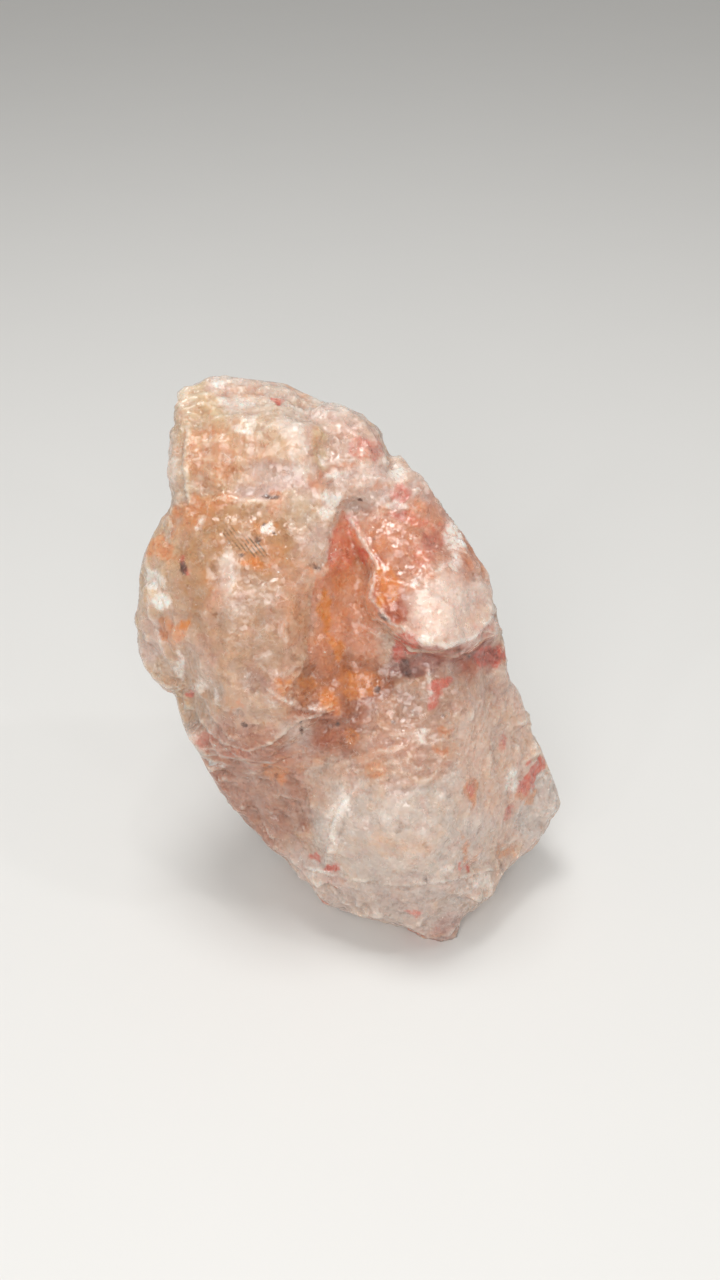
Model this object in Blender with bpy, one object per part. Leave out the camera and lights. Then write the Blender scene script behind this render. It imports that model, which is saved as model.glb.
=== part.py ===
"""A rough quartz crystal, one broken lump that stands on its lower end.

The form is sketched as it is seen by someone who looks down on it from in front. Each point is
(across, down, back): across and down are steps on a board that stands square to the line of sight
through the middle of the stone, and back is how far behind the stone's middle the point lies, in
millimetres, less than nothing towards the viewer. Lines of such points are the ridges, lips and
feet of the stone's lobes. A front sheet and a back sheet are stretched over them and share the
outline, which closes the body. Fracture relief is then added, and the lower end is cut flat.
"""

import math

import bmesh
import bpy
import numpy as np
from mathutils import Vector, noise
from mathutils.geometry import delaunay_2d_cdt

MM = 0.001

# The line of sight and the board.
SIGHT_TILT = math.radians(35.0)
SIGHT_LENGTH = 200.0 * MM
BOARD_MIDDLE = (360.0, 640.0)
BOARD_STEP = MM / 7.0
BOARD_HEIGHT = 38.0 * MM

# The least distance between two corners; nearer ones are one.
WELD = 0.03 * MM
# How far from a plane a corner still counts as on it.
ON_PLANE = 0.001 * MM
# How far apart, in steps, two points on the board are told apart.
BOARD_TOLERANCE = 1e-6

# How far inside the outline, in steps, and how deep, in millimetres, its edge is rounded.
EDGE_INSET = 6
EDGE_ROUND = 1.7

# Mesh density.
SKIN_GRID = 0.8 * MM
SMOOTH_ROUNDS = 2
SMOOTH_SHARE = 0.5
TRIANGLES = 9500

# Broken relief: tilted facets, curved ledges and a grain, each as a span and a height.
SKIN_LIFT = 0.3 * MM
FACET_SPAN = 6.0 * MM
FACET_TILT = 0.45
FACET_LIMIT = 0.45 * MM
LEDGE_SPAN = 14.0 * MM
LEDGE_HEIGHT = 0.32 * MM
LEDGES_PER_SPAN = 4.0
GRAIN_SPAN = 2.6 * MM
GRAIN_HEIGHT = 0.15 * MM
# Where the noise is read for a facet's tilt along X, Y and Z, and how far apart for two facets.
TILT_SHIFTS = [Vector((0, 0, 0)), Vector((41.3, 7.1, 3.7)), Vector((9.2, 53.8, 21.4))]
TILT_SPREAD = 7.3
# How fast a facet's tilt starts at its edge, and how fast a ledge rises to its full height.
FACET_EDGE = 4.0
LEDGE_RISE = 3.0

QUARTZ_COLOUR = (0.66, 0.47, 0.38, 1.0)
QUARTZ_ROUGHNESS = 0.35

OUTLINE = [
    # top edge, left to right
    (178, 387, 3), (199, 386, 4), (207, 377, 6), (222, 376, 7), (251, 379, 8), (289, 386, 8),
    (305, 396, 7), (322, 405, 6), (336, 403, 6), (349, 407, 6), (362, 414, 5), (374, 424, 4),
    (383, 437, 3), (385, 450, 2), (393, 459, 1), (399, 454, 0), (409, 466, -1), (424, 478, -2),
    # right side, down past the flake to the right corner
    (430, 492, -2), (445, 510, -3), (457, 527, -4), (472, 547, -5), (489, 579, -6), (496, 607, -8),
    (500, 628, -6), (503, 652, -5), (508, 680, -5), (518, 696, -5), (527, 720, -5), (537, 742, -5),
    (547, 766, -5), (556, 788, -5), (560, 804, -6),
    # under edge, right to left, over the foot
    (549, 821, -8), (534, 847, -10), (518, 858, -12), (503, 871, -14), (494, 892, -16),
    (470, 910, -19), (461, 921, -20), (457, 936, -21), (446, 940, -21), (430, 937, -21.5),
    (412, 929, -21.5), (385, 920, -21), (360, 914, -20), (335, 904, -19.5), (318, 895, -18.5),
    (308, 880, -17.2), (290, 862, -14.5), (272, 848, -12.5), (255, 830, -11), (235, 808, -9.5),
    (220, 788, -9), (208, 768, -8.5), (200, 750, -8), (190, 730, -8), (180, 706, -8),
    # left side, up past the bulge
    (175, 694, -8), (166, 689, -8), (152, 680, -8), (144, 665, -8), (138, 645, -8), (138, 610, -8),
    (138, 580, -7), (145, 553, -6), (155, 530, -5), (168, 514, -4), (172, 500, -3), (168, 485, -2),
    (170, 460, -1), (170, 435, 0), (174, 410, 1), (176, 399, 2),
]

FRONT_LINES = {
    "head_edge": [(188, 434, -4.6), (185, 462, -6), (188, 492, -7.4)],
    "bulge_edge": [(150, 592, -11.2), (154, 615, -12.4), (159, 634, -13.2), (165, 652, -13.6)],
    "brow": [(196, 425, -2), (222, 418, -3), (255, 424, -4), (290, 428, -4), (322, 430, -2.5),
             (350, 432, -2), (370, 445, -2.5)],
    "recess_ridge": [(343, 503, -6), (335, 530, -9), (328, 560, -11.5), (318, 572, -13.5),
                     (312, 600, -14.5), (308, 640, -16), (308, 675, -17.5)],
    "recess_floor": [(349, 514, -5.0), (349, 535, -6.8), (353, 570, -9.0), (352, 610, -11.4),
                     (351, 650, -13.8), (352, 690, -16.5)],
    "lobe_lip": [(180, 694, -10), (198, 712, -14), (209, 733, -16), (224, 744, -18),
                 (250, 751, -20), (273, 743, -20.5), (299, 722, -20.5), (322, 712, -19)],
    "lobe_foot": [(196, 729, -9.5), (206, 746, -11.5), (224, 755, -14), (250, 761, -16.5),
                  (278, 753, -17.5), (304, 732, -17.8), (330, 721, -17.3)],
    "flake_rim": [(350, 519, -6.5), (363, 541, -9.5), (376, 565, -12.5), (373, 582, -14.5),
                  (369, 597, -15.5), (382, 612, -17), (392, 624, -18), (404, 629, -19),
                  (417, 638, -20), (431, 644, -20.5), (445, 647, -20.5), (456, 644, -19.5),
                  (474, 637, -16.8), (485, 624, -13), (492, 614, -9.5)],
    "flake_top": [(350, 507, -5), (380, 507, -6.5), (403, 516, -7.5), (430, 512, -6)],
    "flake_foot": [(356, 541, -7.2), (368, 568, -9.2), (362, 598, -11.2), (378, 620, -12.8),
                   (390, 634, -13.4), (412, 648, -14), (438, 657, -14.2), (462, 655, -12.6),
                   (480, 644, -10.4), (494, 630, -7.6)],
    "crevice_sill": [(392, 668, -14), (412, 690, -17), (440, 684, -16.5), (470, 674, -13.5),
                     (494, 668, -9.5)],
    "oval_rim": [(352, 788, -22), (338, 812, -22.5), (330, 840, -22.5), (324, 862, -21)],
    "keel": [(320, 874, -20.5), (350, 881, -23.5), (398, 887, -26), (440, 884, -25.5),
             (470, 877, -22), (494, 869, -17.5)],
}

FRONT_SPOTS = [
    # head
    (215, 460, -7), (250, 465, -7.2), (285, 470, -7), (190, 512, -9.2),
    (215, 510, -9.5), (248, 505, -9.5), (285, 508, -9),
    # shoulder, its pit and the groove beside it
    (300, 450, -6), (306, 485, -8), (330, 455, -4), (322, 478, -6), (352, 455, -4.5),
    (350, 482, -6), (372, 470, -5.5), (392, 482, -5), (372, 495, -6.5), (410, 496, -5.5),
    # left bulge
    (160, 560, -10.5), (174, 590, -13.6), (186, 628, -15.9), (184, 664, -14.6),
    (208, 580, -15.6), (208, 630, -17.6), (204, 664, -17.6),
    # front lobe
    (235, 540, -13.5), (235, 590, -17.5), (232, 640, -19.5), (232, 695, -20.5),
    (280, 540, -12.5), (288, 590, -16.5), (285, 640, -18.5), (278, 695, -20.5), (205, 690, -16.5),
    # flake
    (388, 545, -10.5), (412, 545, -11), (400, 580, -15), (436, 560, -12.5), (430, 592, -16.5),
    (464, 575, -12), (462, 603, -15.5), (440, 625, -19.3), (472, 618, -15.5),
    # crevice
    (428, 668, -15.5), (462, 664, -12.5),
    # lower mass
    (352, 716, -18), (380, 708, -18), (425, 712, -19), (462, 704, -16.5), (494, 706, -11),
    (350, 748, -19.5), (400, 748, -22), (446, 742, -20.5), (490, 738, -14), (520, 748, -9.5),
    (300, 775, -16.3), (270, 778, -14.3), (240, 774, -12), (218, 764, -10.5), (300, 815, -16.8),
    (276, 815, -14.5), (252, 806, -12), (290, 843, -15.7), (310, 850, -18), (322, 765, -18.3),
    (400, 795, -24.5), (450, 785, -22.5), (380, 838, -25.5), (430, 838, -26), (476, 818, -21),
    (510, 795, -13.5), (536, 795, -9.3), (502, 838, -15.5), (530, 828, -10.7),
    # foot
    (345, 897, -21), (385, 906, -23.5), (425, 915, -24), (452, 905, -22.5), (446, 928, -21.8),
]

# The hidden side, in millimetres: x to the right, y to the back, z up.
FOOT_EDGE = [
    (12, -19), (3, -15), (-5, -10), (-9, -4), (-11, 2), (-7, 8), (4, 10), (15, 5), (20, -5),
    (16, -13),
]
FOOT_SINK = 0.8
BACK_SPOTS = [
    (-14, 11, 69), (-3, 11, 64), (-20, 8, 60), (-9, 15, 56), (4, 11, 56), (-23, 7, 51),
    (-12, 18, 46), (2, 18, 48), (11, 11, 48), (-21, 10, 38), (-8, 20, 34), (6, 20, 34),
    (16, 11, 36), (-15, 12, 24), (0, 19, 20), (12, 17, 22), (21, 8, 24), (23, 3, 14),
    (14, 12, 8), (2, 14, 6), (-9, 11, 7), (-15, 3, 12), (-20, 3, 26), (-25, 0, 38),
    (-12, -7, 6), (-16, -2, 11), (-19, -2, 19), (-23, -2, 30),
]
# Flat breaks on the hidden side: the direction each faces (degrees round from the front, to the
# right first, and degrees up) and how deep it cuts, in millimetres.
FLAT_BREAKS = [
    (172, 3, 2.5), (138, -8, 4.0), (215, -6, 4.5), (236, 14, 1.6), (188, -30, 4.0),
    (150, -32, 3.0), (240, -26, 3.0),
]
# Hollow shell-shaped breaks: a point near the surface, the radius and the depth.
HOLLOWS = [
    ((5, 14, 58), 26, 3.2), ((-12, 17, 42), 34, 2.8), ((12, 16, 30), 24, 3.0),
    ((-14, 8, 16), 22, 2.6),
]


def clear_scene():
    for item in list(bpy.data.objects):
        bpy.data.objects.remove(item, do_unlink=True)


def quartz_material():
    material = bpy.data.materials.new("milky_quartz")
    material.use_nodes = True
    shader = material.node_tree.nodes["Principled BSDF"]
    shader.inputs["Base Color"].default_value = QUARTZ_COLOUR
    shader.inputs["Roughness"].default_value = QUARTZ_ROUGHNESS
    shader.inputs["Metallic"].default_value = 0.0
    return material


def sight_axes():
    """Right, up and forward directions of the viewer."""
    right = Vector((1, 0, 0))
    up = Vector((0, math.sin(SIGHT_TILT), math.cos(SIGHT_TILT)))
    forward = Vector((0, math.cos(SIGHT_TILT), -math.sin(SIGHT_TILT)))
    return right, up, forward


def eye():
    return Vector((0, 0, BOARD_HEIGHT)) - SIGHT_LENGTH * sight_axes()[2]


def place(across, down, back):
    """The point at the given depth on the line from the eye through a step of the board."""
    right, up, forward = sight_axes()
    ray = forward * SIGHT_LENGTH
    ray += right * (across - BOARD_MIDDLE[0]) * BOARD_STEP
    ray += up * (BOARD_MIDDLE[1] - down) * BOARD_STEP
    start = eye()
    return start + ray * ((back * MM - start.y) / ray.y)


def on_board(point):
    """Where a point is seen on the board, in steps."""
    right, up, forward = sight_axes()
    ray = point - eye()
    reach = SIGHT_LENGTH / ray.dot(forward) / BOARD_STEP
    return Vector((ray.dot(right) * reach, ray.dot(up) * reach))


def rounded_edge(turn):
    """Points just inside the outline, nearer or farther than it, which round its edge."""
    points = []
    for i, (across, down, back) in enumerate(OUTLINE):
        before = OUTLINE[i - 1]
        after = OUTLINE[(i + 1) % len(OUTLINE)]
        along = Vector((after[0] - before[0], after[1] - before[1])).normalized()
        points.append(place(across - along.y * EDGE_INSET, down + along.x * EDGE_INSET,
                            back + turn * EDGE_ROUND))
    return points


def sheet(outline, lines, rings, spots):
    """Triangles over the outline, its inner lines, rings and spots, as seen on the board."""
    points = list(outline)
    count = len(outline)
    edges = []
    for line in lines + rings:
        first = len(points)
        points += line
        edges += [(first + i, first + i + 1) for i in range(len(line) - 1)]
        if line in rings:
            edges.append((len(points) - 1, first))
    points += spots
    seen = [on_board(p) for p in points]
    found = delaunay_2d_cdt(seen, edges, [list(range(count))], 1, BOARD_TOLERANCE)
    if len(found[0]) != len(points):
        raise ValueError(f"the lines cross: {len(points)} points became {len(found[0])}")
    origin = [source[0] for source in found[3]]
    return points, [[origin[i] for i in face] for face in found[2]]


def add_sheet(body, rim, points, faces, flip):
    inner = [body.verts.new(p) for p in points[len(rim):]]
    verts = rim + inner
    for face in faces:
        corners = [verts[i] for i in face]
        body.faces.new(corners[::-1] if flip else corners)


def rough_body():
    """The closed low body of both sheets."""
    outline = [place(*step) for step in OUTLINE]
    front_lines = [[place(*step) for step in line] for line in FRONT_LINES.values()]
    front_spots = [place(*step) for step in FRONT_SPOTS]
    foot = [Vector((x, y, -FOOT_SINK)) * MM for x, y in FOOT_EDGE]
    back_spots = [Vector(p) * MM for p in BACK_SPOTS]

    body = bmesh.new()
    rim = [body.verts.new(p) for p in outline]
    points, faces = sheet(outline, front_lines, [], front_spots + rounded_edge(-1))
    add_sheet(body, rim, points, faces, flip=False)
    points, faces = sheet(outline, [], [foot], back_spots + rounded_edge(1))
    add_sheet(body, rim, points, faces, flip=True)
    bmesh.ops.recalc_face_normals(body, faces=body.faces)
    break_flats(body)
    return body


def take_modifiers(item):
    """Puts what the object's modifiers make into its own mesh, and removes them."""
    graph = bpy.context.evaluated_depsgraph_get()
    before = item.data
    item.data = bpy.data.meshes.new_from_object(item.evaluated_get(graph))
    item.modifiers.clear()
    item.data.name = before.name
    bpy.data.meshes.remove(before)


def heading(turn, rise):
    """The direction at so many degrees round from the front and so many up."""
    turn, rise = math.radians(turn), math.radians(rise)
    level = math.cos(rise)
    return Vector((math.sin(turn) * level, -math.cos(turn) * level, math.sin(rise)))


def cut_flat(body, outward, reach):
    """Cuts off what stands farther out than the plane at this reach, and closes the cut."""
    parts = body.verts[:] + body.edges[:] + body.faces[:]
    bmesh.ops.bisect_plane(body, geom=parts, plane_co=outward * reach, plane_no=outward,
                           dist=ON_PLANE, clear_outer=True)
    bmesh.ops.remove_doubles(body, verts=body.verts, dist=WELD)
    rim = [e for e in body.edges if e.is_boundary]
    bmesh.ops.holes_fill(body, edges=rim, sides=0)


def break_flats(body):
    """Breaks the hidden side off flat in each direction listed."""
    for turn, rise, depth in FLAT_BREAKS:
        outward = heading(turn, rise)
        reach = max(v.co.dot(outward) for v in body.verts)
        cut_flat(body, outward, reach - depth * MM)


def read_points(mesh):
    points = np.empty(len(mesh.vertices) * 3, np.float32)
    mesh.vertices.foreach_get("co", points)
    return points.reshape(-1, 3).astype(float)


def write_points(mesh, points):
    mesh.vertices.foreach_set("co", points.astype(np.float32).ravel())
    mesh.update()


def outward_at(mesh, points):
    """The direction out of the skin at each point: its quads' normals, weighted by their areas
    and added up in the quads' own order, so that the sum is the same each time."""
    quads = np.empty(len(mesh.loops), np.int32)
    mesh.loops.foreach_get("vertex_index", quads)
    quads = quads.reshape(-1, 4)
    corner = points[quads]
    across = np.cross(corner[:, 2] - corner[:, 0], corner[:, 3] - corner[:, 1])
    total = np.zeros_like(points)
    for side in range(4):
        np.add.at(total, quads[:, side], across)
    return total / np.linalg.norm(total, axis=1)[:, None]


def break_hollows(mesh):
    """Pushes what lies inside each hollow's ball out to the ball's own surface."""
    points = read_points(mesh)
    for near, radius, depth in HOLLOWS:
        anchor = np.linalg.norm(points - np.array(near) * MM, axis=1).argmin()
        centre = points[anchor] + outward_at(mesh, points)[anchor] * (radius - depth) * MM
        arm = points - centre
        length = np.linalg.norm(arm, axis=1)[:, None]
        points = np.where(length < radius * MM, centre + arm / length * radius * MM, points)
    write_points(mesh, points)


def fracture(point):
    """Height of the broken relief at a point: tilted facets, curved ledges and a grain."""
    near, middle = noise.voronoi(point / FACET_SPAN)
    tilt = Vector([noise.noise(middle[0] * TILT_SPREAD + shift) for shift in TILT_SHIFTS])
    facet = (point / FACET_SPAN - middle[0]).dot(tilt) * FACET_TILT * FACET_SPAN
    facet *= min(1.0, (near[1] - near[0]) * FACET_EDGE)
    facet = max(-FACET_LIMIT, min(FACET_LIMIT, facet))
    wave = noise.noise(point / LEDGE_SPAN) * LEDGES_PER_SPAN
    ledge = math.floor(wave) + min(1.0, (wave - math.floor(wave)) * LEDGE_RISE) - wave
    grain = noise.noise(point / GRAIN_SPAN)
    return SKIN_LIFT + facet + LEDGE_HEIGHT * ledge + GRAIN_HEIGHT * grain


def add_relief(mesh):
    points = read_points(mesh)
    height = np.array([fracture(Vector(point)) for point in points])
    write_points(mesh, points + outward_at(mesh, points) * height[:, None])


def drop_crumbs(body):
    """Keeps the largest connected body and deletes any crumb beside it."""
    left = set(body.verts)
    largest = set()
    while left:
        group = set()
        edge_of_group = [left.pop()]
        while edge_of_group:
            vertex = edge_of_group.pop()
            group.add(vertex)
            for edge in vertex.link_edges:
                other = edge.other_vert(vertex)
                if other in left:
                    left.remove(other)
                    edge_of_group.append(other)
        if len(group) > len(largest):
            largest = group
    crumbs = [v for v in body.verts if v not in largest]
    bmesh.ops.delete(body, geom=crumbs, context="VERTS")


def cut_foot(mesh):
    """Cuts the lower end off flat at z = 0 and stands the box of the stone over the origin."""
    body = bmesh.new()
    body.from_mesh(mesh)
    drop_crumbs(body)
    cut_flat(body, Vector((0, 0, -1)), 0.0)
    bmesh.ops.triangulate(body, faces=body.faces)
    for axis in (0, 1):
        reach = [v.co[axis] for v in body.verts]
        middle = (min(reach) + max(reach)) / 2
        for vertex in body.verts:
            vertex.co[axis] -= middle
    body.to_mesh(mesh)
    body.free()


def skin_over(stone):
    """An even skin of small faces over the low body, its edges softened a little."""
    skin = stone.modifiers.new("skin", "REMESH")
    skin.mode = "VOXEL"
    skin.voxel_size = SKIN_GRID
    smooth = stone.modifiers.new("smooth", "SMOOTH")
    smooth.factor = SMOOTH_SHARE
    smooth.iterations = SMOOTH_ROUNDS
    take_modifiers(stone)


def thin_out(stone):
    """Fewer and larger triangles, largest where the stone is flat."""
    count = sum(len(p.vertices) - 2 for p in stone.data.polygons)
    thin = stone.modifiers.new("thin", "DECIMATE")
    thin.ratio = TRIANGLES / count
    take_modifiers(stone)


def main():
    clear_scene()
    stone = bpy.data.objects.new("quartz_crystal", bpy.data.meshes.new("quartz_crystal"))
    bpy.context.scene.collection.objects.link(stone)
    body = rough_body()
    body.to_mesh(stone.data)
    body.free()
    skin_over(stone)
    break_hollows(stone.data)
    add_relief(stone.data)
    thin_out(stone)
    cut_foot(stone.data)
    stone.data.materials.append(quartz_material())


main()
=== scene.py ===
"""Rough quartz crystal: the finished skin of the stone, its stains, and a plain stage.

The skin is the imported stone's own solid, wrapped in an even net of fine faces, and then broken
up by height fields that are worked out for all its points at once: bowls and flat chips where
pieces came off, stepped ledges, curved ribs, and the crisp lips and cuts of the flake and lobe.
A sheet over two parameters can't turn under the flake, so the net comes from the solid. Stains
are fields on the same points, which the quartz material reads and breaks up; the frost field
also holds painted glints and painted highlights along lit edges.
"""

import functools
import itertools
import math

import bpy
import numpy as np
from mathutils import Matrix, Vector


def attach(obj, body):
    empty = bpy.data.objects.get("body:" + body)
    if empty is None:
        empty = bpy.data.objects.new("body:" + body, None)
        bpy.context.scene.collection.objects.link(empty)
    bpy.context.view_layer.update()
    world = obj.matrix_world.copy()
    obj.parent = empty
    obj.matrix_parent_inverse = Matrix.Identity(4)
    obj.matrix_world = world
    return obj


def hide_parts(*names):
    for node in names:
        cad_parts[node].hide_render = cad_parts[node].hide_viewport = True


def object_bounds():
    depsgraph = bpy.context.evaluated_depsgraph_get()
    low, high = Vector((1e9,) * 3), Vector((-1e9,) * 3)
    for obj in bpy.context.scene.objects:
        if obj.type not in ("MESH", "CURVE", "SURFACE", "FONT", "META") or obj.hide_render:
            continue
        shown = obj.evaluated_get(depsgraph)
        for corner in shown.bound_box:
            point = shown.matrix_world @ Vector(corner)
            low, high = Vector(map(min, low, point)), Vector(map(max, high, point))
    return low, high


bl_info = {
    "name": "Rough quartz crystal",
    "version": (1, 0, 0),
    "blender": (4, 5, 0),
    "location": "3D View > Sidebar > Quartz",
    "description": "Builds the skin of a rough quartz crystal around its solid, and a plain stage",
    "category": "Object",
}

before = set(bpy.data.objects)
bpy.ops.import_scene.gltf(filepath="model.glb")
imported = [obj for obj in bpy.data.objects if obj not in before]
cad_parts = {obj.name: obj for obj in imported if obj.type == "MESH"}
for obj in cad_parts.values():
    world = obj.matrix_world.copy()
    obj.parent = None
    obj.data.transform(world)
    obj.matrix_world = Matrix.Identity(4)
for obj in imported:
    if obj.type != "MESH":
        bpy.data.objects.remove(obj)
NODE = "quartz_crystal"
CAD_BOX = [[float(c) for c in corner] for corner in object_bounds()]

MM = 0.001

# The line of sight, and the board that stands square to it through the stone's middle. Across
# and down on the board are counted in steps, seven to the millimetre.
SIGHT_TILT = math.radians(35.0)
SIGHT_LENGTH = 200.0 * MM
BOARD_MIDDLE = (360.0, 640.0)
STEPS_PER_MM = 7.0
BOARD_PLACE = np.array((0.37, 3.81, 38.25)) * MM
RIGHT = np.array((1.0, 0.0, 0.0))
UP = np.array((0.0, math.sin(SIGHT_TILT), math.cos(SIGHT_TILT)))
FORWARD = np.array((0.0, math.cos(SIGHT_TILT), -math.sin(SIGHT_TILT)))
EYE = BOARD_PLACE - SIGHT_LENGTH * FORWARD
# The sight's length in steps, which is the camera's focal length in its frame of 1280 rows.
FOCAL = SIGHT_LENGTH / MM * STEPS_PER_MM
FRAME_HEIGHT = 1280
SENSOR = 36.0

# The stone's outline as it is seen on the board, with its small teeth and notches.
EDGE = [
    # head: top left corner, top edge and the right shoulder
    (177, 387), (200, 385), (204, 379), (212, 376), (232, 377), (258, 380), (275, 382), (287, 384),
    (296, 389), (306, 394), (314, 399), (321, 404), (333, 403), (343, 405), (354, 411), (363, 414),
    (369, 421), (377, 426), (383, 434), (382, 438), (384, 447), (388, 452), (394, 459), (399, 454),
    (405, 460), (412, 470), (419, 473), (424, 478), (426, 487), (429, 493), (431, 499),
    # flake and tab
    (439, 505), (444, 513), (449, 522), (456, 528), (461, 533), (466, 540), (471, 549), (475, 556),
    (482, 563), (489, 574), (490, 582), (493, 591), (492, 602), (497, 609), (493, 616), (497, 620),
    (501, 629), (497, 636), (501, 643), (502, 653), (505, 668), (510, 680), (517, 688), (521, 696),
    (523, 706), (528, 719), (532, 733), (540, 746), (546, 761), (552, 776), (557, 789), (561, 804),
    # right corner and the under edge
    (555, 812), (548, 819), (544, 833), (534, 844), (526, 852), (513, 862), (505, 871), (498, 883),
    (492, 895), (479, 905), (470, 911), (461, 920), (459, 929), (456, 936), (446, 940), (436, 939),
    (427, 936), (420, 932), (407, 927), (393, 923), (386, 920), (372, 918), (360, 917), (346, 911),
    (334, 905), (322, 899), (316, 891), (309, 880), (300, 871), (285, 858), (268, 843), (250, 826),
    (232, 806), (215, 782), (205, 765), (199, 753), (189, 739), (183, 725), (178, 708), (175, 692),
    # left bulge and the toothed edge of the head
    (165, 688), (155, 680), (145, 668), (139, 652), (138, 638), (140, 619), (140, 596), (139, 578),
    (142, 562), (144, 554), (148, 545), (152, 536), (159, 526), (161, 519), (168, 512), (171, 504),
    (172, 494), (169, 486), (169, 481), (167, 476), (167, 468), (169, 459), (168, 452), (170, 441),
    (169, 435), (170, 429), (175, 426), (175, 412), (174, 406), (179, 402), (177, 397), (177, 387),
]
# How far from the outline, in steps, the skin begins to be drawn to it and is drawn all the way,
# and how squarely it faces the eye at each.
EDGE_REACH = (15.0, 11.0)
EDGE_FACING = (0.6, 0.05)

# Lines on the stone that the breaks follow, each a list of (across, down) steps.
FLAKE_RIM = [(350, 519), (363, 541), (376, 565), (374, 582), (369, 597), (382, 612), (392, 624),
             (404, 629), (417, 638), (431, 644), (445, 647), (456, 644), (474, 637), (485, 624),
             (493, 613)]
LOBE_LIP = [(177, 694), (198, 712), (209, 733), (224, 744), (250, 751), (273, 743), (299, 722),
            (330, 712)]
RECESS_RIDGE = [(345, 505), (335, 530), (329, 560), (318, 571), (312, 600), (308, 640), (310, 680)]
CRUST = [(268, 690), (287, 703), (302, 709), (316, 711), (332, 706)]
OVAL_RIM = [(352, 790), (338, 808), (331, 830), (326, 860)]
KEEL = [(307, 868), (350, 880), (398, 886), (440, 883), (470, 876), (492, 868)]
BULGE_EDGE = [(150, 592), (153, 615), (158, 634), (165, 654), (173, 668)]
HEAD_EDGE = [(187, 500), (183, 462), (186, 432)]

# Each line's lip on its left-hand side and cut on its right-hand side, in millimetres, and how
# far they reach, in steps. The lip is full within a step of the line, and the cut within two.
SEAMS = [
    (FLAKE_RIM, 0.35, 0.0, 6.0), (LOBE_LIP, 0.2, 0.45, 11.0), (CRUST, 0.2, 0.1, 5.0),
    (OVAL_RIM, 0.3, 0.1, 10.0), (KEEL, 0.25, 0.1, 6.0), (RECESS_RIDGE, -0.3, 0.2, 8.0),
    (BULGE_EDGE, 0.3, -0.1, 7.0), (HEAD_EDGE, -0.4, -0.25, 7.0),
]
# How far from the flake's rim, in steps, more smoothing of the solid's flat triangles begins and
# is full.
RIM_REACH = (18.0, 9.0)
# Lines that are pale where the quartz is thin and its edge catches the light, which is painted
# highlight, each with its strength, and how far from them the pale begins and is full, in steps.
PALE_EDGE_HIGHLIGHTS = [(FLAKE_RIM, 0.55), (CRUST, 0.4), (HEAD_EDGE, 0.5), (BULGE_EDGE, 0.5),
              (OVAL_RIM, 0.5)]
PALE_HIGHLIGHT_REACH = (2.6, 0.8)
# Hollows: across, down, half width and half height in steps, turn in degrees, depth in
# millimetres.
PITS = [(337, 461, 25, 36, -8, 0.9), (262, 478, 44, 22, -6, 0.6), (302, 500, 18, 30, 10, 0.5),
        (412, 668, 20, 12, 0, 0.2), (215, 470, 26, 30, 0, 0.5), (165, 625, 10, 18, 0, 0.4)]
# Smooth places, where the breaks are lower: across, down, half width and half height in steps,
# turn in degrees, and the share of the height that is lost.
CALM = [
    (400, 832, 78, 52, 0, 0.7), (342, 615, 30, 88, 2, 0.75), (455, 605, 36, 42, -20, 0.65),
    (245, 605, 70, 95, 0, 0.55), (278, 480, 36, 32, 0, 0.55), (425, 905, 60, 20, 5, 0.4),
    (404, 565, 44, 48, 35, 0.4), (362, 684, 34, 26, 0, 0.5), (540, 800, 26, 30, 20, 0.5),
    (150, 640, 14, 28, 0, 0.5),
]
# Ribbed patches: across, down, half width and half height in steps, turn in degrees, the ribs'
# focus in steps, and their pitch and depth in millimetres.
HACKLES = [
    (395, 765, 75, 45, 0, (430, 960), 1.9, 0.11), (400, 835, 60, 35, 0, (520, 700), 2.6, 0.06),
    (250, 398, 110, 26, 0, (330, 900), 1.5, 0.12), (544, 786, 20, 24, 0, (420, 980), 1.1, 0.12),
    (250, 640, 60, 80, 0, (-100, 560), 2.8, 0.07),
]
# Where an oval's effect begins and where it is full, as shares of the oval's size.
CALM_EDGE, PIT_EDGE, RIB_EDGE, TINT_EDGE = (1.3, 0.6), (1.05, 0.6), (1.1, 0.5), (1.25, 0.75)
# How squarely the skin faces the eye where the marks of the front begin and where they are full.
FRONT_FACING = (0.02, 0.3)
# The breaks over the whole skin: bowls, large and small flat chips, and ledges, each as a span
# and a height in millimetres.
BOWLS, LARGE_CHIPS, SMALL_CHIPS = (6.5, 0.4), (3.2, 0.55), (1.4, 0.22)
LEDGES = (11.0, 0.22)
# The height over the floor, in millimetres, up to which the breaks fade out.
FOOT_FADE = 1.5
# Rounds of smoothing over the whole net, more of them near the flake's rim, and those that find
# the crests, with the height in millimetres of a full crest.
NET_ROUNDS, RIM_ROUNDS, CREST_ROUNDS = 3, 14, 9
FULL_CREST = 0.25
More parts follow.
